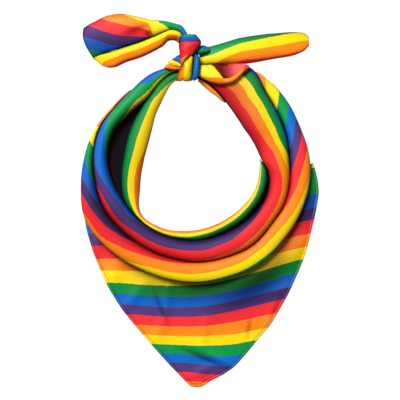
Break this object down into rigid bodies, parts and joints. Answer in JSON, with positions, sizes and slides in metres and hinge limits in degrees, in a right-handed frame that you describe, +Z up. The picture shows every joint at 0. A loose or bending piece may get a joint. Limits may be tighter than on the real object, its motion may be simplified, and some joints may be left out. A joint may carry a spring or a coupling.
{
  "type": "neckerchief",
  "caption": "Tied satin neckerchief lying flat: pleated neck band round an open loop, a pointed bib below, a wrapped knot above and a tail to each side, in rainbow stripes.",
  "frame": {"origin": "centre of the bounding box in X and Y, on the surface it lies on", "axes": "+Z up from the surface, +Y from the bib's point towards the knot, +X towards the right tail as seen from above"},
  "size_m": [0.2486, 0.3926, 0.0267],
  "materials": {
    "satin": "printed polyester satin in six rainbow stripes, soft sheen",
    "hem": "the same printed satin, turned and stitched"
  },
  "bodies": {
    "root": {"bib": "satin", "hem_left": "hem", "hem_right": "hem", "inner_fold_upper": "satin", "inner_fold": "satin", "inner_fold_right": "satin", "valley_fold": "satin", "middle_fold": "satin", "outer_fold": "satin", "knot_core": "satin", "knot_upper_wrap": "satin", "knot_lower_wrap": "satin", "knot_left_loop": "satin", "left_tail": "satin", "left_tail_flap": "satin", "right_tail": "satin", "right_tail_lip": "satin"}
  },
  "joints": []
}
